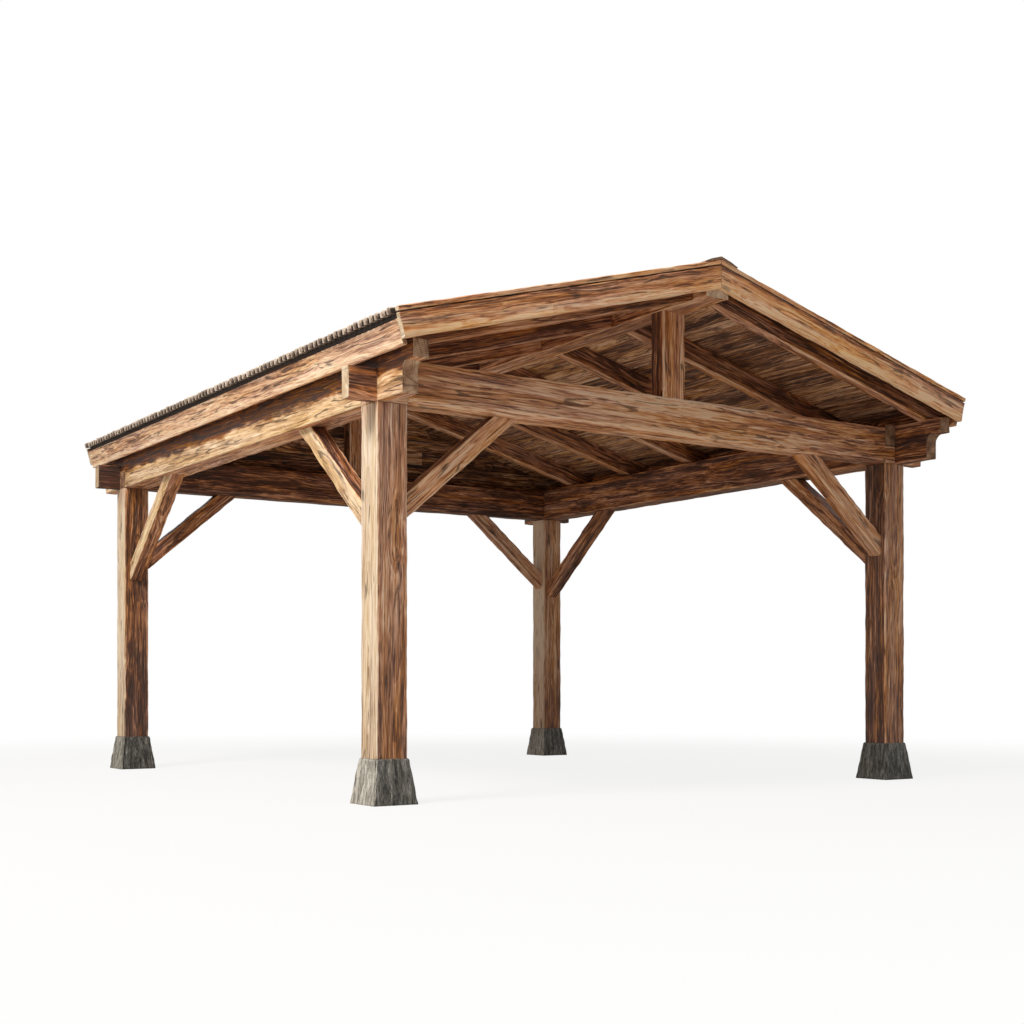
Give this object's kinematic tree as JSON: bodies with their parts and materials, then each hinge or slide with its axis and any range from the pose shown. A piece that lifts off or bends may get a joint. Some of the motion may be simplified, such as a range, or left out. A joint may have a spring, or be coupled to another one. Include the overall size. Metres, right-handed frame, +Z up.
{
  "type": "double carport",
  "caption": "Open-sided timber carport: square posts on tapered plinths, knee braces, coved eave plates, an open front gable, a boarded rear one and a low pitched shake-covered roof.",
  "frame": {"origin": "ground level, in the middle of the bay", "axes": "+X across the gable to the right seen from the front, +Y along the ridge from the front gable to the rear one, +Z up"},
  "size_m": [5.9, 6.82, 4.1949],
  "materials": {
    "frame_timber": "hewn and oiled softwood, brown, with knots and drying checks",
    "edge_boards": "sawn and oiled boards, honey brown",
    "roof_boards": "sawn boards, dark brown",
    "shakes": "split shakes, weathered grey brown",
    "plinth_stone": "tooled grey stone, matt"
  },
  "bodies": {
    "root": {"front_left_plinth": "plinth_stone", "front_left_post": "frame_timber", "front_right_plinth": "plinth_stone", "front_right_post": "frame_timber", "rear_left_plinth": "plinth_stone", "rear_left_post": "frame_timber", "rear_right_plinth": "plinth_stone", "rear_right_post": "frame_timber", "front_tie_beam": "frame_timber", "rear_tie_beam": "frame_timber", "left_eave_plate": "frame_timber", "right_eave_plate": "frame_timber", "front_left_tie_brace": "frame_timber", "front_right_tie_brace": "frame_timber", "rear_left_tie_brace": "frame_timber", "rear_right_tie_brace": "frame_timber", "front_left_plate_brace": "frame_timber", "front_right_plate_brace": "frame_timber", "rear_left_plate_brace": "frame_timber", "rear_right_plate_brace": "frame_timber", "front_king_post": "frame_timber", "rear_king_post": "frame_timber", "ridge_beam": "frame_timber", "left_rafter_1": "frame_timber", "left_rafter_2": "frame_timber", "left_rafter_3": "frame_timber", "left_rafter_4": "frame_timber", "left_rafter_5": "frame_timber", "left_rafter_6": "frame_timber", "left_rafter_7": "frame_timber", "right_rafter_1": "frame_timber", "right_rafter_2": "frame_timber", "right_rafter_3": "frame_timber", "right_rafter_4": "frame_timber", "right_rafter_5": "frame_timber", "right_rafter_6": "frame_timber", "right_rafter_7": "frame_timber", "rear_gable_boards": "roof_boards", "left_roof_boards": "roof_boards", "right_roof_boards": "roof_boards", "left_fascia": "edge_boards", "right_fascia": "edge_boards", "front_left_barge_board": "edge_boards", "front_right_barge_board": "edge_boards", "rear_left_barge_board": "edge_boards", "rear_right_barge_board": "edge_boards", "front_left_verge_strip": "edge_boards", "front_right_verge_strip": "edge_boards", "rear_left_verge_strip": "edge_boards", "rear_right_verge_strip": "edge_boards", "left_shakes": "shakes", "right_shakes": "shakes", "ridge_cap": "edge_boards"}
  },
  "joints": []
}
